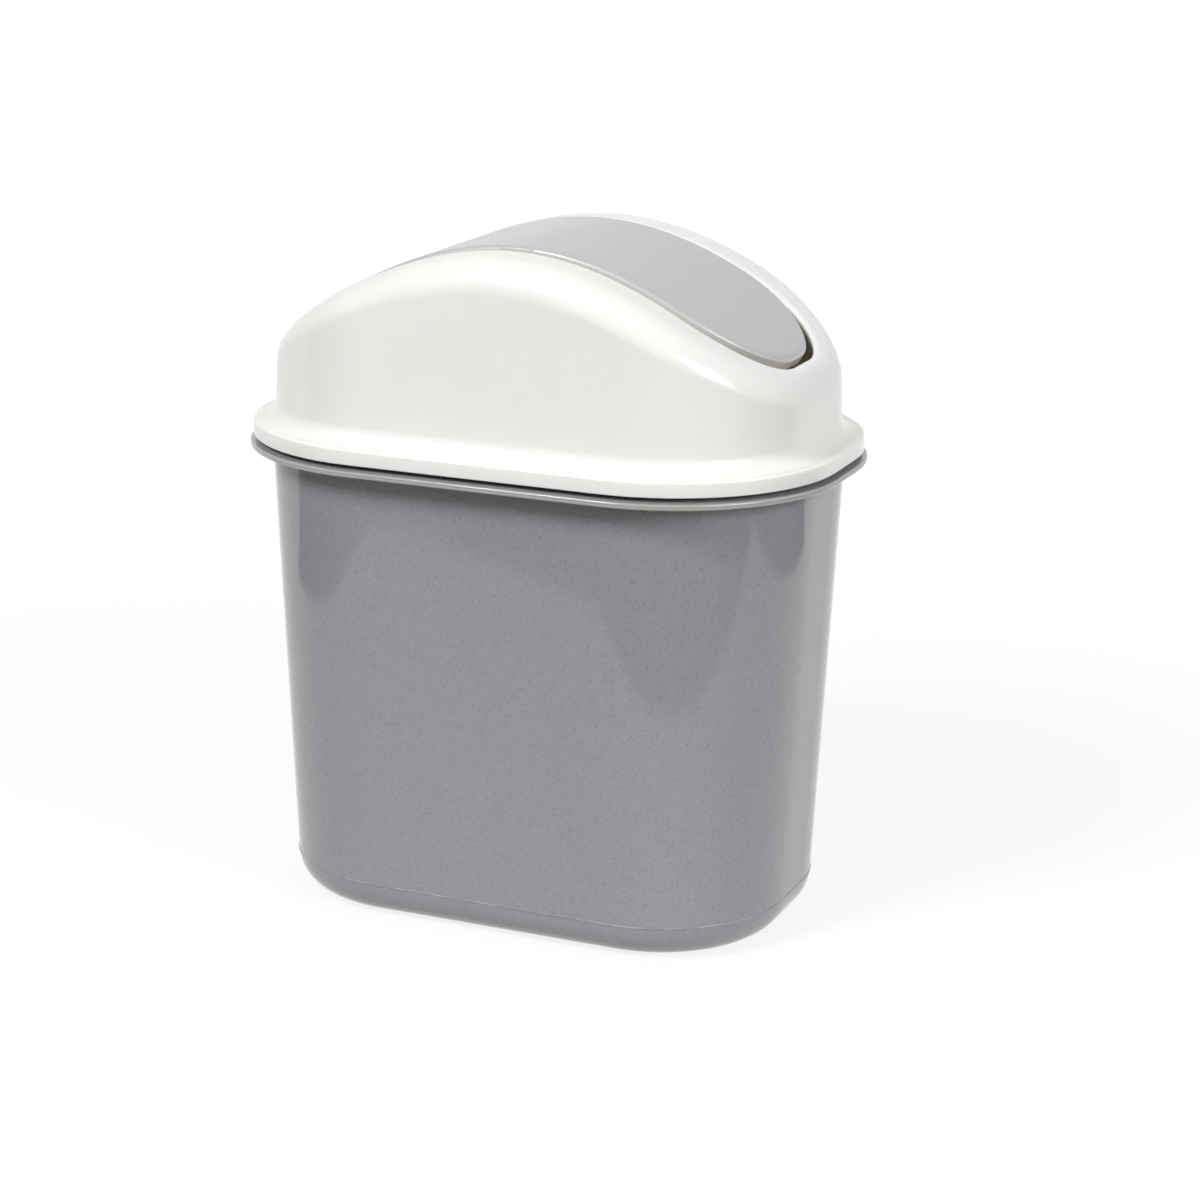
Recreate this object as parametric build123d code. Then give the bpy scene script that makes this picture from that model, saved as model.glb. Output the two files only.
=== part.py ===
from build123d import *
from math import hypot, radians, tan
import os

# Countertop bin with a lift-off hood and a swing flap. Millimetres. +Z is up, X runs along the bin, Y across it.
# The origin is on the floor under the middle of the bin. Three mouldings: the bin body, the lid cover and the flap.

# Tub of the bin body. Its plan is given outside the wall at the top edge, and it narrows towards the floor.
tub_length = 206.7
tub_width = 135.3
tub_corner = 56.4
tub_height = 177.2
tub_draft = 2.7
tub_wall = 1.8
tub_top_radius = 0.5
base_radius = 13.0
floor_thickness = 2.2
foot_width = 6.0
foot_height = 1.0

# Ledge round the outside of the tub, just under the lid's skirt.
ledge_overhang = 7.8
ledge_thickness = 2.3
ledge_below_top = 5.65
ledge_edge_radius = 0.8

# Lid cover: a flange that lies on the tub's top edge, with a skirt outside it and a spigot inside it.
skirt_overhang = 6.65
skirt_height = 5.5
skirt_wall = 1.8
skirt_draft = 2.0
flange_thickness = 1.8
flange_edge_radius = 0.7
spigot_depth = 5.0
spigot_wall = 1.6
spigot_clearance = 0.4

# Hood of the lid cover: upright walls set back from the tub's outline, under an arched top.
hood_end_setback = 1.8
hood_side_setback = 3.2
hood_corner = 52.0
hood_rise = 68.4
hood_wall = 2.0
hood_draft = 1.4
arch_drop = 44.2
arch_easing = 0.134
shoulder_radius = 12.5
cove_radius = 6.0

# Opening in the hood's top, measured at its throat, with a rolled edge and a turned-down lip.
opening_end_margin = 9.15
opening_width = 77.8
opening_end_flat = 14.8
roll_radius = 3.2
lip_wall = 2.0
lip_depth = 7.0

# Bearing plates at mid-length, where the lip reaches down to hold the flap's pins.
pivot_below_crest = 7.5
plate_half_width = 13.0
plate_below_roll = 1.8
plate_below_rib = 1.0
plate_corner = 3.0
bearing_wall = 3.2
bearing_radius = 5.0

# Swing flap: an arched shell with a skirt round its edge, two ears and two pivot pins.
flap_side_gap = 2.0
flap_end_gap = 1.4
flap_end_flat = 6.8
flap_proud = 0.8
flap_wall = 1.8
flap_skirt_depth = 5.5
flap_skirt_wall = 1.8
flap_edge_radius = 1.5
flap_rib_depth = 4.0
flap_rib_wall = 1.6
ear_radius = 6.5
ear_wall = 2.6
pin_radius = 2.5
pin_clearance = 0.08
pin_overhang = 0.4
pin_chamfer = 0.5

# Swing: at this angle the flap's skirt meets a rib on each bearing plate, this far out from the pivot.
swing_angle = 60.0
stop_reach = 17.5
stop_clearance = 0.3
stop_rib_height = 3.0
stop_rib_gap = 0.4

# Levels and places that follow from the sizes above.
ledge_top = tub_height - ledge_below_top
flange_top = tub_height + flange_thickness
skirt_bottom = flange_top - skirt_height
spigot_bottom = tub_height - spigot_depth
crest = flange_top + hood_rise
pivot_height = crest - pivot_below_crest
hood_half_length = tub_length / 2 - hood_end_setback
opening_length = 2 * (hood_half_length - opening_end_margin)
throat_side = opening_width / 2
flap_side = throat_side - flap_side_gap
above_all = crest + 2 * shoulder_radius


def plan(length, width, corner, grow):
    """Rounded rectangle, grown or shrunk by the same distance all round."""
    return RectangleRounded(length + 2 * grow, width + 2 * grow, corner + grow)


def tub_plan(grow=0.0):
    return plan(tub_length, tub_width, tub_corner, grow)


def hood_plan(grow=0.0):
    length = tub_length - 2 * hood_end_setback
    width = tub_width - 2 * hood_side_setback
    return plan(length, width, hood_corner, grow)


def opening_plan(grow=0.0):
    return plan(opening_length, opening_width, (opening_width - opening_end_flat) / 2, grow)


def flap_plan(grow=0.0):
    length = opening_length - 2 * flap_end_gap
    width = opening_width - 2 * flap_side_gap
    return plan(length, width, (width - flap_end_flat) / 2, grow)


def rising(sketch, bottom, top, draft=0.0):
    """Prism that stands on one level and leans in by its draft as it rises."""
    return extrude(Plane.XY.offset(bottom) * sketch, amount=top - bottom, taper=draft)


def hanging(sketch, top, bottom, draft=0.0):
    """Prism that hangs from one level and leans in by its draft as it goes down."""
    return extrude(Plane((0, 0, top), z_dir=(0, 0, -1)) * sketch, amount=top - bottom, taper=draft)


def arch_point(x, offset=0.0):
    """Point of the hood's arch at x, moved off the arch by a distance along its normal, upwards if positive."""
    u = x / hood_half_length
    z = crest - arch_drop * ((1 + arch_easing) * u**2 - arch_easing * u**4)
    slope = arch_drop * (2 * (1 + arch_easing) * u - 4 * arch_easing * u**3) / hood_half_length
    run = hypot(1, slope)
    return (x + offset * slope / run, z + offset / run)


def under_arch(offset=0.0):
    """All the space below the arch, or below the surface at this offset from it."""
    reach = 1.05 * hood_half_length
    steps = 12
    points = [arch_point(reach * i / steps, offset) for i in range(-steps, steps + 1)]
    left, right = points[0], points[-1]
    outline = [Spline(points), Polyline(right, (right[0], 0), (left[0], 0), left)]
    return extrude(Plane.XZ.offset(-tub_width) * make_face(outline), amount=2 * tub_width)


def across(sketch, y_near, y_far):
    """Prism across the bin, between two places on Y, of a sketch drawn round the pivot with Y as height."""
    side = Plane((0, y_far, pivot_height), x_dir=(1, 0, 0), z_dir=(0, -1, 0))
    return extrude(side * sketch, amount=y_far - y_near)


def block(half_width, bottom, top):
    """Rectangle across the pivot, between two heights measured from it."""
    return Pos(0, (bottom + top) / 2) * Rectangle(2 * half_width, top - bottom)


def edges_at(shape, level):
    """Edges that lie flat in one level plane."""
    def off_level(edge):
        return abs(edge.bounding_box().min.Z - level) + abs(edge.bounding_box().max.Z - level)
    return shape.edges().filter_by(lambda edge: off_level(edge) < 0.01)


def on_both_sides(piece):
    """A piece at the back of the bin together with its copy at the front."""
    return piece + mirror(piece, about=Plane.XZ)


def make_bin_body():
    """Tub with a rounded base, a shallow recess under its floor and a ledge round its top."""
    tub = hanging(tub_plan(), tub_height, 0, tub_draft)
    tub = fillet(edges_at(tub, 0), base_radius)
    ledge = rising(tub_plan(ledge_overhang), ledge_top - ledge_thickness, ledge_top)
    ledge = fillet(edges_at(ledge, ledge_top) + edges_at(ledge, ledge_top - ledge_thickness), ledge_edge_radius)
    floor_level = foot_height + floor_thickness
    cavity = hanging(tub_plan(-tub_wall), tub_height, floor_level, tub_draft)
    cavity = fillet(edges_at(cavity, floor_level), base_radius - tub_wall)
    foot_inset = tub_height * tan(radians(tub_draft)) + base_radius + foot_width
    foot_recess = rising(tub_plan(-foot_inset), 0, foot_height)
    body = tub + ledge - cavity - foot_recess
    return fillet(edges_at(body, tub_height), tub_top_radius)


def make_lid_outside():
    """Solid hood on a solid rim, with the opening sunk into it and every outer edge rounded."""
    hood = rising(hood_plan(), flange_top, above_all, hood_draft) & under_arch()
    hood = fillet(hood.faces().sort_by(Axis.Z)[-1].edges(), shoulder_radius)
    rim = rising(tub_plan(skirt_overhang), skirt_bottom, flange_top, skirt_draft)
    rim = fillet(edges_at(rim, flange_top), flange_edge_radius)
    joined = hood + rim
    flange = joined.faces().filter_by(Axis.Z).filter_by_position(Axis.Z, flange_top, flange_top)[0]
    solid = fillet(flange.inner_wires()[0].edges(), cove_radius)
    opening = rising(opening_plan(), flange_top, above_all)
    opened = solid - opening
    mouth = new_edges(solid, opening, combined=opened)
    return fillet([edge for edge in mouth if edge.center().Z > flange_top + cove_radius], roll_radius)


def make_lid_hollow():
    """Space inside the hood and through the flange, shaped to leave a lip standing round the opening."""
    hollow = rising(hood_plan(-hood_wall), flange_top, above_all, hood_draft) & under_arch(-hood_wall)
    hollow = fillet(hollow.faces().sort_by(Axis.Z)[-1].edges(), shoulder_radius - hood_wall)
    lip = rising(opening_plan(lip_wall), flange_top, above_all) - under_arch(-lip_depth)
    return hollow - lip + rising(hood_plan(-hood_wall), spigot_bottom, flange_top)


def make_bearing_plate():
    """Plate at the back of the opening with a boss for the pin's hole and the stop rib."""
    skirt_edge = Vector(*arch_point(stop_reach, flap_proud - flap_skirt_depth)) - Vector(0, pivot_height)
    contact = (skirt_edge - Vector(0, stop_clearance)).rotate(Axis.Z, -swing_angle)
    rib_bottom = contact.Y - stop_rib_height
    plate_top = pivot_below_crest - roll_radius - plate_below_roll
    plate = block(plate_half_width, rib_bottom - plate_below_rib, plate_top)
    plate = fillet(plate.vertices().group_by(Axis.Y)[0], plate_corner)
    plate = across(plate, throat_side, throat_side + lip_wall)
    boss = across(Circle(bearing_radius), throat_side, throat_side + bearing_wall)
    rib_tip = flap_side - flap_skirt_wall + stop_rib_gap
    rib = across(block(contact.X, rib_bottom, contact.Y), rib_tip, throat_side)
    return plate + boss + rib


def make_lid_cover():
    """Hood, flange, skirt, spigot, lip and bearing plates in one moulding."""
    under_flange = rising(tub_plan(skirt_overhang - skirt_wall), spigot_bottom, tub_height)
    spigot_plan = tub_plan(-tub_wall - spigot_clearance)
    spigot_core = tub_plan(-tub_wall - spigot_clearance - spigot_wall)
    spigot = hanging(spigot_plan, tub_height, spigot_bottom, tub_draft)
    spigot = spigot - hanging(spigot_core, tub_height, spigot_bottom, tub_draft)
    lid = make_lid_outside() - under_flange - make_lid_hollow() + spigot
    boss_side = throat_side + bearing_wall
    pin_holes = across(Circle(pin_radius + pin_clearance), -boss_side, boss_side)
    return lid + on_both_sides(make_bearing_plate()) - pin_holes


def make_flap():
    """Arched shell with a skirt, trimmed so that its ends clear the opening as it swings, with ears and pins."""
    throat_end = Vector(*arch_point(opening_length / 2)) - Vector(0, pivot_height)
    swing_radius = throat_end.length - flap_end_gap
    envelope = rising(flap_plan(), flange_top, above_all) & under_arch(flap_proud)
    envelope = fillet(envelope.faces().sort_by(Axis.Z)[-1].edges(), flap_edge_radius)
    envelope = envelope & across(Circle(swing_radius), -tub_width, tub_width)
    hollow = rising(flap_plan(-flap_skirt_wall), flange_top, above_all) & under_arch(flap_proud - flap_wall)
    hollow = hollow & across(Circle(swing_radius - flap_skirt_wall), -tub_width, tub_width)
    shell = envelope - hollow - under_arch(flap_proud - flap_skirt_depth)
    ear = Circle(ear_radius) + block(ear_radius, 0, pivot_below_crest + flap_proud)
    ear = across(ear, flap_side - ear_wall, flap_side)
    pin_end = throat_side + lip_wall + pin_overhang
    pin = across(Circle(pin_radius), flap_side - ear_wall, pin_end)
    pin = chamfer(pin.edges().group_by(Axis.Y)[-1], pin_chamfer)
    rib_top = pivot_below_crest + flap_proud - flap_wall / 2
    rib = across(block(flap_rib_wall / 2, rib_top - flap_rib_depth, rib_top), -flap_side, flap_side)
    return shell + ((on_both_sides(ear) + rib) & envelope) + on_both_sides(pin)


os.makedirs("parts", exist_ok=True)
pieces = {
    "bin_body": make_bin_body,
    "lid_cover": make_lid_cover,
    "swing_flap": make_flap,
}
for name, make in pieces.items():
    piece = make()
    print(name, round(piece.volume), piece.is_valid, len(piece.solids()))
    export_step(piece, f"parts/{name}.step")
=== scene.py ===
from math import cos, pi, radians, sin, tan

import bmesh
import bpy
from mathutils import Matrix, Vector


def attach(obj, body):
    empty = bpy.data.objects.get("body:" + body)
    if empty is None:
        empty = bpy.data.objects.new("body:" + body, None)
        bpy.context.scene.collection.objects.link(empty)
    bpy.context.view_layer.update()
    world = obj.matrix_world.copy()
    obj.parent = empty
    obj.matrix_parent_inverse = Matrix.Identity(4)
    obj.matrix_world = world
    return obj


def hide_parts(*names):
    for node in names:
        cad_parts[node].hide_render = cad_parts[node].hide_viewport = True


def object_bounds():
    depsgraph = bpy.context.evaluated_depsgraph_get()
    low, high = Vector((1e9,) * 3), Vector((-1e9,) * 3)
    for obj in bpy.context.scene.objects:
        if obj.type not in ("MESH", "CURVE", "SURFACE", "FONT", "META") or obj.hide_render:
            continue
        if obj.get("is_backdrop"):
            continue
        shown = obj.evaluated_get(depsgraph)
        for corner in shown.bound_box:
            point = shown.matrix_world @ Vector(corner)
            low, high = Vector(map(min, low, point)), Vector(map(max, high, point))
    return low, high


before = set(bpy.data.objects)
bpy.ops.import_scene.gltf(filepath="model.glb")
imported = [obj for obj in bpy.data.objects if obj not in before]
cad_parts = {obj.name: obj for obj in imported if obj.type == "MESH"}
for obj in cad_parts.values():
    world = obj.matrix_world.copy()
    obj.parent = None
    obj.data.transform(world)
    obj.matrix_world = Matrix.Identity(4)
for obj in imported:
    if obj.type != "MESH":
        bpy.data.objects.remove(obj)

# Countertop bin with a lift-off hood and a swing flap, on a plain white table. +Z is up and X runs
# along the bin. The scene is in metres; the pieces' own measures are in millimetres.
cad_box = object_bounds()


# Camera: somewhat above the bin, turned to show the long front and the right-hand end.
# A long lens stands a little over a metre away, so the two long sides stay almost parallel.
camera_turn, camera_height, camera_roll = radians(22.70), radians(16.02), radians(0.76)
camera_distance = 1.138
aim_height, aim_right, aim_down = 0.120, 0.01627, 0.0080
sensor_width, lens_per_width = 36.0, 2.58
level_back = cos(camera_height)
back = Vector((sin(camera_turn) * level_back, -cos(camera_turn) * level_back, sin(camera_height)))
right = Vector((cos(camera_turn), sin(camera_turn), 0))
up = back.cross(right)
aim = Vector((0, 0, aim_height)) + aim_right * right - aim_down * up
lens = bpy.data.cameras.new("long_lens")
lens.sensor_width = sensor_width
lens.lens = lens_per_width * sensor_width
camera = bpy.data.objects.new("camera", lens)
bpy.context.scene.collection.objects.link(camera)
rolled_right = cos(camera_roll) * right + sin(camera_roll) * up
rolled_up = -sin(camera_roll) * right + cos(camera_roll) * up
turn = Matrix((rolled_right, rolled_up, back)).transposed()
camera.matrix_world = Matrix.Translation(aim + camera_distance * back) @ turn.to_4x4()
bpy.context.scene.camera = camera
bpy.context.scene.view_settings.view_transform = "Standard"


# Bin body: a fibre-filled grey plastic tub, injection moulded in one with its ledge and its foot.
# The mould parts at the top of the rounded base, which leaves a fine, uneven line of flash there.
mm = 0.001
tub_length, tub_width, tub_corner, tub_height = 206.7, 135.3, 56.4, 177.2
tub_wall, floor_thickness, base_radius = 1.8, 2.2, 13.0
tub_draft = 2.7
tub_lean = tan(radians(tub_draft))
foot_width, foot_height, foot_edge = 6.0, 1.0, 0.3
ledge_overhang, ledge_low, ledge_high, ledge_edge = 7.8, 169.25, 171.55, 0.8
ledge_round_stop = 64
ledge_groove, ledge_groove_deep = 0.2, 0.18
ledge_slope_in, ledge_slope_high = 3.6, 172.05
flash_level, flash_height, flash_stand, flash_edge = 12.9, 0.55, 0.24, 0.15
rim_edge = 0.5
flat_fall = 0.05
corner_steps, side_cuts, end_cuts = 16, 29, 7
same_place, same_point = 0.001, 0.002
crease_angle = 35


def choose_edges(wanted):
    """Selects, in the piece being shaped, just the edges whose two points are wanted."""
    bpy.ops.mesh.select_all(action="DESELECT")
    shape = bmesh.from_edit_mesh(bpy.context.object.data)
    shape.verts.index_update()
    for edge in shape.edges:
        if all(wanted(point) for point in edge.verts):
            edge.select_set(True)
    shape.select_flush_mode()
    bmesh.update_edit_mesh(bpy.context.object.data)


def points_so_far():
    return len(bmesh.from_edit_mesh(bpy.context.object.data).verts)


def cut_straight(first, side, count):
    """Cuts the two straight edges that lie across X (side 0) or Y (side 1) into short ones."""
    shape = bmesh.from_edit_mesh(bpy.context.object.data)
    shape.verts.index_update()
    reach = max(point.co[side] for point in shape.verts if point.index >= first)
    for end in (-reach, reach):
        here = lambda point: point.index >= first and abs(point.co[side] - end) < same_place * mm
        choose_edges(here)
        bpy.ops.mesh.subdivide(number_cuts=count)


def draw_outline(length, width, corner, level, ends=end_cuts):
    """Draws one rounded outline at its level: a plane's edge, corners bevelled and sides cut."""
    first = points_so_far()
    place = (0, 0, level * mm)
    bpy.ops.mesh.select_all(action="DESELECT")
    bpy.ops.mesh.primitive_plane_add(size=1, location=place)
    bpy.ops.transform.resize(value=(length * mm, width * mm, 1), center_override=place)
    bpy.ops.mesh.bevel(offset=corner * mm, segments=corner_steps, affect="VERTICES")
    cut_straight(first, 1, side_cuts)
    if ends:
        cut_straight(first, 0, ends)
    choose_edges(lambda point: point.index >= first)
    bpy.ops.mesh.delete(type="ONLY_FACE")
    return first, points_so_far()


def join_outlines(one, other):
    """Bridges two outlines with a band of faces."""
    bpy.ops.mesh.select_all(action="DESELECT")
    shape = bmesh.from_edit_mesh(bpy.context.object.data)
    shape.verts.index_update()
    for edge in shape.edges:
        a, b = edge.verts[0].index, edge.verts[1].index
        if any(start <= a < stop and start <= b < stop for start, stop in (one, other)):
            edge.select_set(True)
    shape.select_flush_mode()
    bmesh.update_edit_mesh(bpy.context.object.data)
    bpy.ops.mesh.bridge_edge_loops()


def begin_piece(name, outlines, ends=end_cuts):
    """Opens a new piece and skins it over a run of outlines, one band after another."""
    bpy.ops.object.select_all(action="DESELECT")
    bpy.ops.mesh.primitive_plane_add(size=mm)
    piece = bpy.context.object
    piece.name = piece.data.name = name
    bpy.ops.object.mode_set(mode="EDIT")
    bpy.ops.mesh.select_mode(type="EDGE")
    bpy.ops.mesh.select_all(action="SELECT")
    bpy.ops.mesh.delete(type="VERT")
    drawn = [draw_outline(*outlines[0], ends)]
    for outline in outlines[1:]:
        drawn.append(draw_outline(*outline, ends))
        join_outlines(drawn[-2], drawn[-1])
    return piece, drawn


def finish_piece(piece, finish):
    """Turns every face outwards, smooths all but sharp creases and gives the piece its finish."""
    bpy.ops.object.mode_set(mode="EDIT")
    bpy.ops.mesh.select_all(action="SELECT")
    bpy.ops.mesh.remove_doubles(threshold=same_point * mm)
    bpy.ops.mesh.normals_make_consistent(inside=False)
    bpy.ops.object.mode_set(mode="OBJECT")
    bpy.ops.object.shade_smooth_by_angle(angle=radians(crease_angle))
    bpy.ops.object.modifier_add(type="WEIGHTED_NORMAL")
    piece.modifiers[-1].keep_sharp = True
    bpy.ops.object.modifier_apply(modifier=piece.modifiers[-1].name)
    piece.data.materials.clear()
    piece.data.materials.append(finish.material)


def arc(radius, start, stop, steps):
    """Points of an arc, as pairs of out and up, from one angle in degrees to another."""
    angles = [radians(start + (stop - start) * i / steps) for i in range(steps + 1)]
    return [(radius * cos(angle), radius * sin(angle)) for angle in angles]


def tub_outline(grow, level):
    return tub_length + 2 * grow, tub_width + 2 * grow, tub_corner + grow, level


def tub_side(level):
    """How far the outside of the tub's leaning wall is from the top outline."""
    return (level - tub_height) * tub_lean


def tub_outlines():
    """The tub's profile, from its underside up the outside, over the rim and down inside.

    A flat ring slopes by flat_fall from one of its outlines to the other.
    """
    base_out = tub_side(base_radius) - base_radius / cos(radians(tub_draft))
    foot_inset = base_out - foot_width
    profile = [(foot_inset - foot_edge, foot_height), (foot_inset, foot_edge)]
    profile.append((foot_inset + foot_edge, flat_fall))
    rounded_base = arc(base_radius, -90, -tub_draft, 10)
    profile += [(base_out + out, base_radius + rise) for out, rise in rounded_base]
    flash_line = [(0, 0), (flash_stand, flash_edge)]
    flash_line += [(flash_stand, flash_height - flash_edge), (0, flash_height)]
    for out, rise in flash_line:
        level = flash_level + rise
        profile.append((tub_side(level) + out, level))
    profile.append((tub_side(ledge_low), ledge_low + flat_fall))
    low, high = ledge_low + ledge_edge, ledge_high - ledge_edge
    edge = ledge_overhang - ledge_edge
    profile += [(edge + out, low + rise) for out, rise in arc(ledge_edge, -90, 0, 5)]
    middle = (low + high) / 2
    profile.append((ledge_overhang, middle - ledge_groove))
    profile.append((ledge_overhang - ledge_groove_deep, middle))
    profile.append((ledge_overhang, middle + ledge_groove))
    profile += [(edge + out, high + rise) for out, rise in arc(ledge_edge, 0, ledge_round_stop, 5)]
    profile.append((ledge_slope_in, ledge_slope_high))
    profile.append((tub_side(ledge_slope_high), ledge_slope_high + flat_fall))
    top = tub_height - rim_edge
    profile += [(out - rim_edge, top + rise) for out, rise in arc(rim_edge, 0, 90, 4)]
    inner_rim = arc(rim_edge, 90, 180, 4)
    profile += [(rim_edge - tub_wall + out, top - flat_fall + rise) for out, rise in inner_rim]
    floor_level = foot_height + floor_thickness
    round_inside = base_radius - tub_wall
    inside_out = tub_side(floor_level + round_inside) - tub_wall - round_inside
    inner_base = arc(round_inside, -2, -90, 8)
    profile += [(inside_out + out, floor_level + round_inside + rise) for out, rise in inner_base]
    return [tub_outline(out, level) for out, level in profile]


class Signal:
    """A socket of a finish's nodes. Sums on it add the Math nodes that work them out."""

    def __init__(self, finish, socket):
        self.finish, self.socket = finish, socket

    def math(self, operation, *others):
        return self.finish.add("ShaderNodeMath", {"operation": operation}, self, *others)["Value"]

    def __add__(self, other):
        return self.math("ADD", other)

    def __sub__(self, other):
        return self.math("SUBTRACT", other)

    def __mul__(self, other):
        return self.math("MULTIPLY", other)

    def __rsub__(self, other):
        return (self * -1.0).math("ADD", other)

    __radd__, __rmul__ = __add__, __mul__

    def between(self, low, high):
        """0 below the low value, 1 above the high one, smooth in between."""
        smooth = {"interpolation_type": "SMOOTHSTEP"}
        return self.finish.add("ShaderNodeMapRange", smooth, self, low, high)["Result"]


class Finish:
    """One surface finish, as a material whose nodes are added one after another."""

    def __init__(self, name, **shader):
        self.material = bpy.data.materials.new(name)
        self.material.use_nodes = True
        self.tree = self.material.node_tree
        self.shader = self.tree.nodes["Principled BSDF"]
        for socket, value in shader.items():
            self.shader.inputs[socket.replace("_", " ")].default_value = value
        self.place = self.add("ShaderNodeTexCoord", {})["Object"]

    def add(self, kind, settings, *values, **named):
        """A node of this kind: its settings are made first, then its sockets filled or linked."""
        node = self.tree.nodes.new(kind)
        for setting, value in settings.items():
            setattr(node, setting, value)
        filled = list(zip(node.inputs, values))
        filled += [(node.inputs[name.replace("_", " ")], value) for name, value in named.items()]
        for socket, value in filled:
            if isinstance(value, Signal):
                self.tree.links.new(value.socket, socket)
            elif value is not None:
                socket.default_value = value
        return {socket.name: Signal(self, socket) for socket in node.outputs}

    def height(self):
        """How high each point is, in millimetres."""
        return self.add("ShaderNodeSeparateXYZ", {}, self.place)["Z"] * (1 / mm)

    def drive(self, **sockets):
        for name, signal in sockets.items():
            self.tree.links.new(signal.socket, self.shader.inputs[name.replace("_", " ")])

    def noise(self, size, detail=2.0, place=None):
        """Cloudy noise whose clouds are about this many millimetres across."""
        place, scale = place or self.place, 1 / (size * mm)
        return self.add("ShaderNodeTexNoise", {}, Vector=place, Scale=scale, Detail=detail)["Fac"]

    def ripple(self, size, depth):
        """The faint waviness of a cooled moulding, this wide and this deep in millimetres."""
        wave = self.noise(size)
        bump = self.add("ShaderNodeBump", {}, Strength=1.0, Distance=depth * mm, Height=wave)
        self.drive(Normal=bump["Normal"])

    def flecks(self, size, turn, stretch, low, high):
        """Fibres of one direction: noise stretched along it, with only its peaks kept."""
        drawn_out = (1, 1, 1 / stretch)
        turned = self.add("ShaderNodeMapping", {}, self.place, Rotation=turn, Scale=drawn_out)
        return self.noise(size, 1.0, turned["Vector"]).between(low, high)

    def tint(self, base, share, colour):
        """Mixes a colour over another where the share is high."""
        made = self.add("ShaderNodeMix", {"data_type": "RGBA"}, share)
        node = made["Result"].socket.node
        colours_in = [socket for socket in node.inputs if socket.type == "RGBA"]
        mixed = [socket for socket in node.outputs if socket.type == "RGBA"][0]
        for socket, value in zip(colours_in, (base, colour)):
            if isinstance(value, Signal):
                self.tree.links.new(value.socket, socket)
            else:
                socket.default_value = value
        return Signal(self, mixed)


plain_grey, patchy_grey = (0.274, 0.269, 0.288, 1), (0.256, 0.252, 0.269, 1)
lip_painted_light_grey, flash_highlight_grey = (0.37, 0.357, 0.34, 1), (0.37, 0.365, 0.37, 1)
body_plastic = Finish("speckled_grey_plastic")
mottle = body_plastic.noise(1.3, 3.0)
shade = body_plastic.tint(plain_grey, mottle.between(0.38, 0.64), patchy_grey)
for size, turned, stretch, low, high, colour in (
    (0.56, (0.3, 0.2, 0.0), 2.4, 0.60, 0.77, (0.220, 0.218, 0.228, 1)),
    (0.62, (1.3, 0.9, 0.4), 2.4, 0.61, 0.78, (0.222, 0.220, 0.231, 1)),
    (0.85, (0.9, 2.1, 1.4), 1.6, 0.64, 0.80, (0.195, 0.193, 0.202, 1)),
):
    shade = body_plastic.tint(shade, body_plastic.flecks(size, turned, stretch, low, high), colour)
level = body_plastic.height()
# Painted light: the face of the ledge's outer lip is painted a lighter, warmer grey, a painted highlight
# where light from above catches it.
lip_light_starts, lip_light_stops = (ledge_low - 0.3, ledge_low + 0.2), (ledge_high - 0.3, ledge_high + 0.1)
lip_painted_light = level.between(*lip_light_starts) * (1 - level.between(*lip_light_stops))
shade = body_plastic.tint(shade, lip_painted_light, lip_painted_light_grey)
# The flash itself is modelled. The lighter, broken band of colour along it is a painted highlight where its
# edge catches the light.
flash_highlight_starts, flash_highlight_stops = (flash_level, flash_level + 0.2), (flash_level + 0.4, flash_level + 0.6)
flash_highlight = level.between(*flash_highlight_starts) * (1 - level.between(*flash_highlight_stops))
flash_highlight = flash_highlight * body_plastic.noise(9.0, 3.0).between(0.48, 0.62)
body_plastic.drive(
    Base_Color=body_plastic.tint(shade, flash_highlight, flash_highlight_grey),
    Roughness=0.05 + 0.04 * body_plastic.noise(30.0).between(0.3, 0.7),
)
body_plastic.ripple(16.0, 0.03)

tub, tub_runs = begin_piece("bin_body_moulding", tub_outlines())
for run in (tub_runs[0], tub_runs[-1]):
    choose_edges(lambda point: run[0] <= point.index < run[1])
    bpy.ops.mesh.edge_face_add()
finish_piece(tub, body_plastic)
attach(tub, "body")
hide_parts("bin_body")


# Lid cover: one warm white moulding, a hood with an arched top on a flat rim that caps the tub.
# Its skirt hangs outside the tub's edge, its spigot inside it. A lip turns down round the opening.
crest, flange_top, flange_under = 247.4, 179.0, 177.2
hood_length, hood_width, hood_corner = 203.1, 128.9, 52.0
hood_lean = tan(radians(1.4))
arch_drop, arch_easing = 44.2, 0.134
shoulder_side, shoulder_end, shoulder_end_depth, shoulder_corner = 12.5, 5.2, 6.8, 9.5
end_wall_share = 0.7
round_sides, far_end = 48, 0.01
hood_wall, cove_radius = 2.0, 6.0
opening_length, opening_width, opening_corner = 184.8, 77.8, 31.5
roll_radius, lip_wall, lip_depth = 3.2, 2.0, 7.0
skirt_out, skirt_low, skirt_wall, skirt_edge, flange_edge = 6.65, 173.5, 1.8, 0.2, 0.7
skirt_lean = tan(radians(2.0))
spigot_low, spigot_out, spigot_wall = 172.2, -2.2, 1.6
ride_level = 195.0


def hood_outline(grow, level):
    return hood_length + 2 * grow, hood_width + 2 * grow, hood_corner + grow, level


def opening_outline(grow, level):
    return opening_length + 2 * grow, opening_width + 2 * grow, opening_corner + grow, level


def shoulder_outlines(wall, steps):
    """Outlines from the top of the hood's wall over its shoulder, this far inside its face."""
    side_in = wall + (crest - shoulder_side - flange_top) * hood_lean
    end_in = wall + (crest - arch_drop - flange_top) * hood_lean
    drawn = []
    for out, rise in arc(1, 0, 90, steps):
        end = (shoulder_end - wall * end_wall_share) * (1 - out)
        side = (shoulder_side - wall) * (1 - out)
        level = crest - wall - (shoulder_side - wall) * (1 - rise)
        corner = hood_corner - side_in - (shoulder_corner - wall) * (1 - out)
        length, width = hood_length - 2 * (end_in + end), hood_width - 2 * (side_in + side)
        drawn.append((length, width, corner, level))
    return drawn


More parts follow.
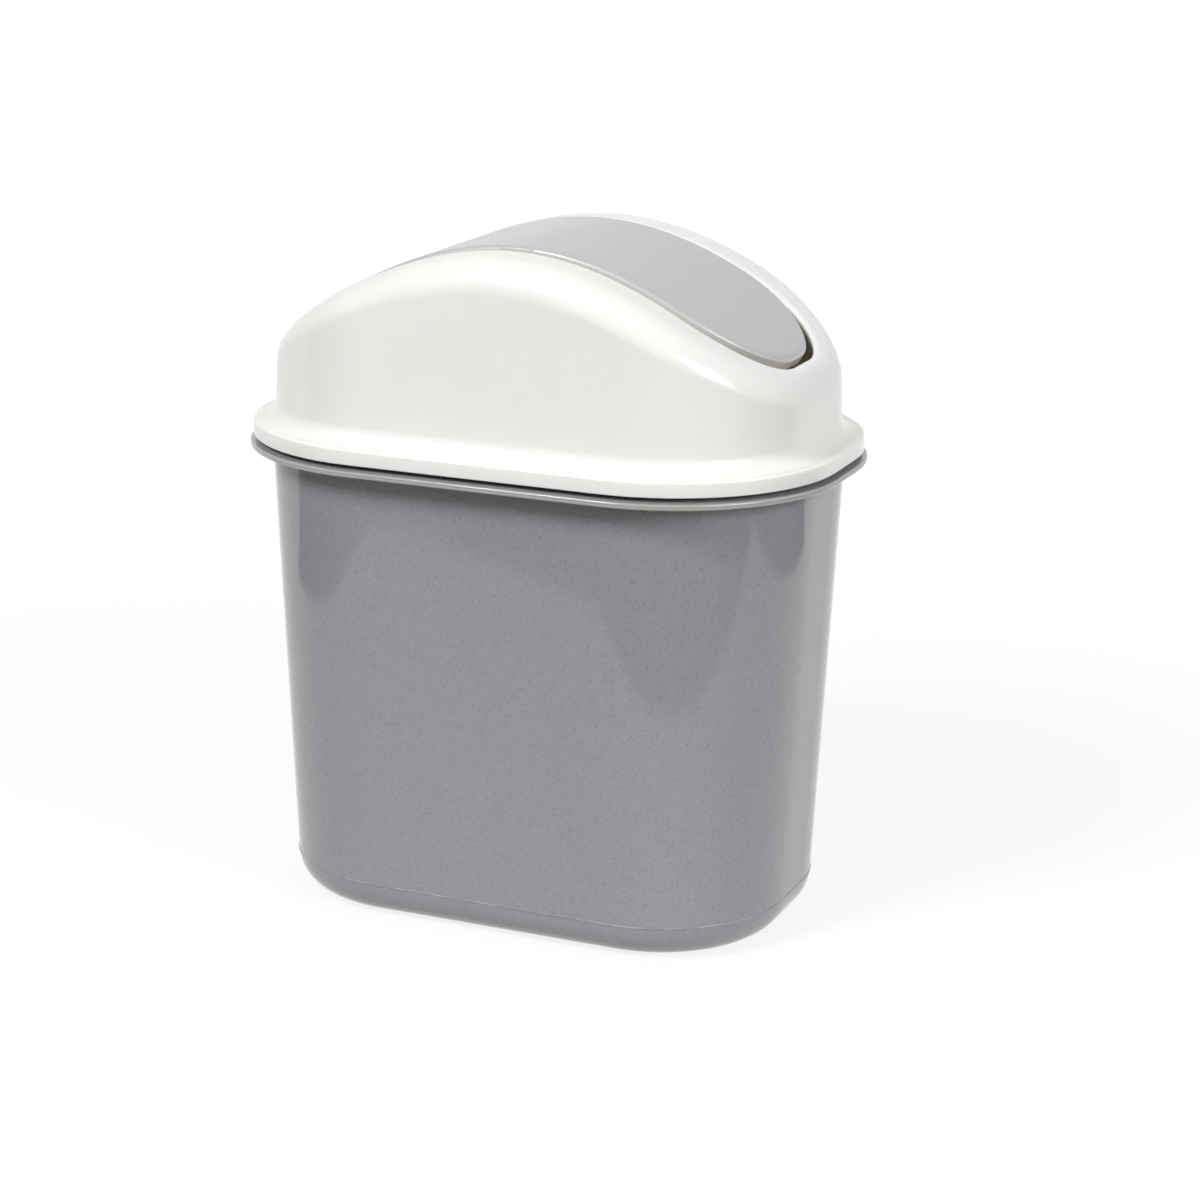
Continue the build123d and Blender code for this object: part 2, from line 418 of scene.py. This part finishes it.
def lid_outlines():
    """The lid's profile, from its lip's foot over the hood and the rim, and back underneath."""
    drawn = [opening_outline(0, crest - lip_depth + flat_fall)]
    roll, roll_level = arc(roll_radius, 180, 90, 8), crest - flat_fall - roll_radius
    drawn += [opening_outline(roll_radius + out, roll_level + rise) for out, rise in roll]
    drawn += reversed(shoulder_outlines(0, 14))
    for out, rise in arc(cove_radius, 180, 270, 8):
        level = flange_top + cove_radius + rise
        drawn.append(hood_outline(cove_radius + out - (level - flange_top) * hood_lean, level))
    edge_out = skirt_out - (flange_top - skirt_low) * skirt_lean
    edge_level = flange_top - flat_fall - flange_edge
    for out, rise in arc(flange_edge, 90, 0, 5):
        drawn.append(tub_outline(edge_out - flange_edge + out, edge_level + rise))
    drawn.append(tub_outline(skirt_out, skirt_low + skirt_edge))
    drawn.append(tub_outline(skirt_out - skirt_edge, skirt_low))
    inside = skirt_out - skirt_wall
    drawn += [tub_outline(inside, skirt_low + flat_fall), tub_outline(inside, flange_under)]
    spigot_foot = spigot_out - (flange_under - spigot_low) * tub_lean
    drawn.append(tub_outline(spigot_out, flange_under + flat_fall))
    drawn.append(tub_outline(spigot_foot, spigot_low))
    drawn.append(tub_outline(spigot_foot - spigot_wall, spigot_low + flat_fall))
    drawn.append(tub_outline(spigot_out - spigot_wall, flange_under))
    drawn.append(hood_outline(-hood_wall, flange_top + cove_radius))
    drawn += shoulder_outlines(hood_wall, 8)
    drawn.append(opening_outline(lip_wall, crest - hood_wall - flat_fall))
    drawn.append(opening_outline(lip_wall, crest - lip_depth))
    return drawn


def bend_to_arch(piece, shoulder_share):
    """Lowers all above ride_level along the arch, with shallower shoulders towards the ends."""
    bpy.ops.object.mode_set(mode="OBJECT")
    group = piece.vertex_groups.new(name="on_the_arch")
    for point in piece.data.vertices:
        x, _, z = point.co / mm
        if z > ride_level:
            along = (x / (hood_length / 2)) ** 2
            fall = (1 + arch_easing) * along - arch_easing * along**2
            depth = crest - z
            shrink = shoulder_share * depth * along / arch_drop
            group.add([point.index], fall - shrink, "REPLACE")
    bpy.ops.object.modifier_add(type="DISPLACE")
    bend = piece.modifiers[-1]
    bend.direction, bend.mid_level, bend.strength = "Z", 0.0, -arch_drop * mm
    bend.vertex_group = group.name
    bpy.ops.object.modifier_apply(modifier=bend.name)
    piece.vertex_groups.clear()


def begin_part(half_length, half_width, half_height, place):
    """A square-edged block of the lid's or the flap's plastic, to be united with its moulding."""
    bpy.ops.object.select_all(action="DESELECT")
    bpy.ops.mesh.primitive_cube_add(size=2 * mm, location=[value * mm for value in place])
    bpy.ops.transform.resize(value=(half_length, half_width, half_height))
    bpy.ops.object.transform_apply(location=True, rotation=False, scale=True)
    return bpy.context.object


def begin_round(radius, near, far, edge=0.0):
    """A round boss or pin that lies across the bin at the pivot, with a chamfer on its far end."""
    bpy.ops.object.select_all(action="DESELECT")
    bpy.ops.mesh.primitive_cylinder_add(
        vertices=round_sides,
        radius=radius * mm,
        depth=abs(far - near) * mm,
        location=(0, (near + far) / 2 * mm, pivot_level * mm),
        rotation=(pi / 2, 0, 0),
    )
    bpy.ops.object.transform_apply(location=True, rotation=True, scale=True)
    part = bpy.context.object
    if edge:
        round_edges(part, edge, 1, lambda point: abs(point.y - far * mm) < far_end * mm)
    return part


def round_edges(part, size, steps, wanted):
    """Bevels the edges of a part whose two points are both wanted."""
    bpy.ops.object.mode_set(mode="EDIT")
    bpy.ops.mesh.select_mode(type="EDGE")
    choose_edges(lambda point: wanted(point.co))
    bpy.ops.mesh.bevel(offset=size * mm, segments=steps)
    bpy.ops.object.mode_set(mode="OBJECT")


def unite(piece, part, operation="UNION"):
    """Joins a part to its moulding, or cuts it out of the moulding, as one closed shell."""
    bpy.ops.object.select_all(action="DESELECT")
    bpy.context.view_layer.objects.active = piece
    piece.select_set(True)
    bpy.ops.object.modifier_add(type="BOOLEAN")
    joint = piece.modifiers[-1]
    joint.operation, joint.solver, joint.object = operation, "EXACT", part
    bpy.ops.object.modifier_apply(modifier=joint.name)
    bpy.data.objects.remove(part)


pivot_below_crest = 7.5
pivot_level = crest - pivot_below_crest
throat_side = opening_width / 2
plate_half, plate_high, plate_low, plate_corner = 13.0, 2.5, -17.94, 3.0
plate_inset, plate_foot = 0.02, 0.01
rib_half, rib_high, rib_low, rib_tip, rib_bite = 9.29, -13.94, -16.94, 35.5, 0.5
bearing_in, bearing_out, bearing_radius = 0.1, 3.2, 5.0
pin_hole, hole_start, hole_stop = 2.58, -1, 6

warm_white, deeper_white = (0.805, 0.790, 0.755, 1), (0.790, 0.777, 0.745, 1)
light_let_in = {
    "Subsurface Weight": 0.4,
    "Subsurface Radius": (1.0, 0.85, 0.62),
    "Subsurface Scale": 0.0045,
}
lid_plastic = Finish("warm_white_plastic")
cloud = lid_plastic.noise(35.0, 3.0).between(0.3, 0.7)
shade = lid_plastic.tint(warm_white, cloud, deeper_white)
gloss = 0.13 + 0.05 * lid_plastic.noise(25.0).between(0.3, 0.7)
lid_plastic.drive(Base_Color=shade, Roughness=gloss)
lid_plastic.ripple(18.0, 0.02)
for socket, value in light_let_in.items():
    lid_plastic.shader.inputs[socket].default_value = value
lid, lid_runs = begin_piece("lid_cover_moulding", lid_outlines())
join_outlines(lid_runs[-1], lid_runs[0])
bend_to_arch(lid, 1 - shoulder_end_depth / shoulder_side)
hang = (plate_high - plate_low) / 2
for side in (-1, 1):
    place = (0, side * (throat_side + lip_wall / 2), pivot_level + plate_high - hang)
    plate = begin_part(plate_half, lip_wall / 2 - plate_inset, hang, place)
    low = (pivot_level + plate_low + plate_foot) * mm
    for end in (-1, 1):
        corner = lambda point: point.z < low and point.x * end > 0
        round_edges(plate, plate_corner, 6, corner)
    unite(lid, plate)
    rib_wide = (throat_side + rib_bite - rib_tip) / 2
    place = (0, side * (rib_tip + rib_wide), pivot_level + (rib_high + rib_low) / 2)
    unite(lid, begin_part(rib_half, rib_wide, (rib_high - rib_low) / 2, place))
    near, far = side * (throat_side + bearing_in), side * (throat_side + bearing_out)
    unite(lid, begin_round(bearing_radius, near, far))
    near, far = side * (throat_side + hole_start), side * (throat_side + hole_stop)
    unite(lid, begin_round(pin_hole, near, far), "DIFFERENCE")
finish_piece(lid, lid_plastic)
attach(lid, "lid")
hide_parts("lid_cover")


# Swing flap: a light grey shell that follows the hood's arch, with a skirt round its edge.
# It hangs on two pins that snap into the bearing plates. An ear carries each; a rib ties the ears.
flap_length, flap_width, flap_corner = 182.0, 73.8, 33.5
flap_proud, flap_wall, flap_skirt, flap_edge = 0.8, 1.8, 5.5, 1.5
flap_end_lean, flap_inner_end = 1.6, 0.3
ear_radius, ear_wall, ear_inset = 6.5, 2.6, 0.05
pin_radius, pin_reach, pin_edge, pin_root = 2.5, 41.3, 0.5, 0.4
flap_rib_half, flap_rib_deep, flap_rib_short = 0.8, 4.0, 0.5


def flap_outline(grow, level, shorter=0.0):
    return flap_length + 2 * grow - 2 * shorter, flap_width + 2 * grow, flap_corner + grow, level


def flap_outlines():
    """The flap's profile, from its hollow down inside the skirt, up outside and over its edge."""
    top, foot = crest + flap_proud, crest + flap_proud - flap_skirt
    drawn = [flap_outline(-flap_wall, top - flap_wall, flap_inner_end)]
    drawn.append(flap_outline(-flap_wall, foot + flat_fall, flap_end_lean))
    drawn.append(flap_outline(0, foot, flap_end_lean))
    level = top - flap_edge
    drawn += [flap_outline(out - flap_edge, level + rise) for out, rise in arc(flap_edge, 0, 90, 6)]
    return drawn


def span_outline(run):
    """Closes an outline with strips straight across the bin, from its near half to its far half."""
    start, stop = run
    bpy.ops.mesh.select_all(action="DESELECT")
    shape = bmesh.from_edit_mesh(bpy.context.object.data)
    shape.verts.index_update()
    for edge in shape.edges:
        inside = all(start <= point.index < stop for point in edge.verts)
        ends = [point.co.x for point in edge.verts]
        if inside and abs(ends[0] - ends[1]) > 0.001 * mm:
            edge.select_set(True)
    shape.select_flush_mode()
    bmesh.update_edit_mesh(bpy.context.object.data)
    bpy.ops.mesh.bridge_edge_loops()


flap_grey, flap_patch = (0.432, 0.427, 0.444, 1), (0.418, 0.413, 0.430, 1)
flap_fibre, skirt_painted_light = (0.375, 0.370, 0.386, 1), (0.55, 0.53, 0.50, 1)
flap_plastic = Finish("light_grey_plastic")
# Painted light: below the flap's top edge its skirt is painted a lighter, warmer grey, standing in for light
# falling on the side wall in the gap round the flap.
along = flap_plastic.add("ShaderNodeSeparateXYZ", {}, flap_plastic.place)["X"]
along = along * (2 / (hood_length * mm))
along = along * along
fall = (along * (1 + arch_easing) - along * along * arch_easing) * arch_drop
depth = (crest + flap_proud) - fall - flap_plastic.height()
cloud = flap_plastic.noise(1.7, 3.0)
shade = flap_plastic.tint(flap_grey, cloud.between(0.35, 0.65), flap_patch)
fibres = flap_plastic.flecks(0.6, (0.4, 0.2, 0.7), 2.0, 0.62, 0.80)
shade = flap_plastic.tint(shade, fibres, flap_fibre)
flap_plastic.drive(
    Base_Color=flap_plastic.tint(shade, depth.between(0.4, 1.3), skirt_painted_light),
    Roughness=0.21 + 0.06 * flap_plastic.noise(20.0).between(0.3, 0.7),
)
flap_plastic.ripple(14.0, 0.02)
flap, flap_runs = begin_piece("swing_flap_moulding", flap_outlines(), ends=0)
for run in (flap_runs[0], flap_runs[-1]):
    span_outline(run)
bend_to_arch(flap, 0.0)
rib_top = pivot_level + pivot_below_crest + flap_proud - flap_wall / 2
place = (0, 0, rib_top - flap_rib_deep / 2)
unite(flap, begin_part(flap_rib_half, flap_width / 2 - flap_rib_short, flap_rib_deep / 2, place))
ear_out = flap_width / 2 - ear_inset
web_high = pivot_below_crest + flap_proud - flap_wall / 2
for side in (-1, 1):
    ear = begin_round(ear_radius, side * (ear_out - ear_wall), side * ear_out)
    place = (0, side * (ear_out - ear_wall / 2), pivot_level + web_high / 2)
    unite(ear, begin_part(ear_radius, ear_wall / 2, web_high / 2, place))
    unite(flap, ear)
    pin_start = ear_out - ear_wall + pin_root
    unite(flap, begin_round(pin_radius, side * pin_start, side * pin_reach, pin_edge))
finish_piece(flap, flap_plastic)
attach(flap, "flap")
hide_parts("swing_flap")


# Table: a dark top with a white sheet laid on it under the bin, and white again behind the bin.
# The eye sees all of it paper white; the gloss of the plastics sees where the sheet ends.
table_size = 40
table_dark, sheet_white = (0.06, 0.06, 0.06, 1), (0.60, 0.60, 0.60, 1)
sheet_turn, sheet_edge = radians(27), 0.012
sheet_left, sheet_right, sheet_front, white_behind = -0.415, 0.480, -0.295, 0.20
shadow_share, shadow_from, shadow_to = 0.25, 0.3, 1.0
paper_glow, gloss_share = 1.12, 0.85


def past(distance, edge):
    """0 before an edge of the sheet and 1 past it."""
    return distance.between(edge - sheet_edge, edge + sheet_edge)


bpy.ops.object.select_all(action="DESELECT")
bpy.ops.mesh.primitive_plane_add(size=table_size, location=(0, 0, 0))
table = bpy.context.object
table.name = "white_sheet_on_a_table"
table_finish = Finish("white_sheet", Roughness=0.7)
table.data.materials.append(table_finish.material)
around = (0, 0, -sheet_turn)
turned = table_finish.add("ShaderNodeMapping", {}, table_finish.place, Rotation=around)["Vector"]
spread = table_finish.add("ShaderNodeSeparateXYZ", {}, turned)
on_sheet = past(spread["X"], sheet_left)
on_sheet = on_sheet * (1 - past(spread["X"], sheet_right))
on_sheet = on_sheet * past(spread["Y"], sheet_front)
on_sheet = on_sheet.math("MAXIMUM", past(spread["Y"], white_behind))
table_finish.drive(Base_Color=table_finish.tint(table_dark, on_sheet, sheet_white))
path = table_finish.add("ShaderNodeLightPath", {})
glow = table_finish.add("ShaderNodeEmission", {}, (1, 1, 1, 1), paper_glow)["Emission"]
away = table_finish.add("ShaderNodeVectorMath", {"operation": "LENGTH"}, table_finish.place)
near = 1 - away["Value"].between(shadow_from, shadow_to)
seen = path["Is Camera Ray"] * (1 - shadow_share * on_sheet * near)
seen = seen + path["Is Glossy Ray"] * on_sheet * gloss_share
surface = Signal(table_finish, table_finish.shader.outputs["BSDF"])
mixed = table_finish.add("ShaderNodeMixShader", {}, seen, surface, glow)["Shader"]
output = table_finish.tree.nodes["Material Output"]
table_finish.tree.links.new(mixed.socket, output.inputs["Surface"])
table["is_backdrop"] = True


# Light: a white room, a soft lamp high over the front, another to the right and a dimmer one behind
# that does not show in gloss. The room looks brighter, to the eye and in gloss, than it lights.
room_light, room_seen = 0.24, 1.0
lamp_aim = Vector((0, 0, 0.15))
room = bpy.data.worlds.new("white_room")
bpy.context.scene.world = room
room.use_nodes = True
walls = room.node_tree.nodes["Background"]
walls.inputs["Color"].default_value = (1, 1, 1, 1)
ray = room.node_tree.nodes.new("ShaderNodeLightPath")
seen_white = room.node_tree.nodes.new("ShaderNodeMath")
seen_white.operation = "MAXIMUM"
strength = room.node_tree.nodes.new("ShaderNodeMapRange")
strength.inputs["To Min"].default_value = room_light
strength.inputs["To Max"].default_value = room_seen
for output, socket in (
    (ray.outputs["Is Camera Ray"], seen_white.inputs[0]),
    (ray.outputs["Is Glossy Ray"], seen_white.inputs[1]),
    (seen_white.outputs["Value"], strength.inputs["Value"]),
    (strength.outputs["Result"], walls.inputs["Strength"]),
):
    room.node_tree.links.new(output, socket)


def lamp(name, place, size, power):
    """A soft rectangular lamp of this many watts, turned to the bin."""
    light = bpy.data.lights.new(name, "AREA")
    light.shape, light.size, light.size_y, light.energy = "RECTANGLE", size[0], size[1], power
    stand = bpy.data.objects.new(name, light)
    bpy.context.scene.collection.objects.link(stand)
    stand.location = place
    stand.rotation_euler = (lamp_aim - Vector(place)).to_track_quat("-Z", "Y").to_euler()
    return stand


lamp("front_softbox", (-0.56, -1.25, 1.45), (0.45, 0.6), 27)
lamp("right_softbox", (1.40, -0.65, 0.85), (0.9, 0.7), 17)
lamp("back_softbox", (-0.3, 1.5, 0.45), (0.9, 0.7), 9).visible_glossy = False

boxes = {"cad": [list(corner) for corner in cad_box], "visual": [list(corner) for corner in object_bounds()]}
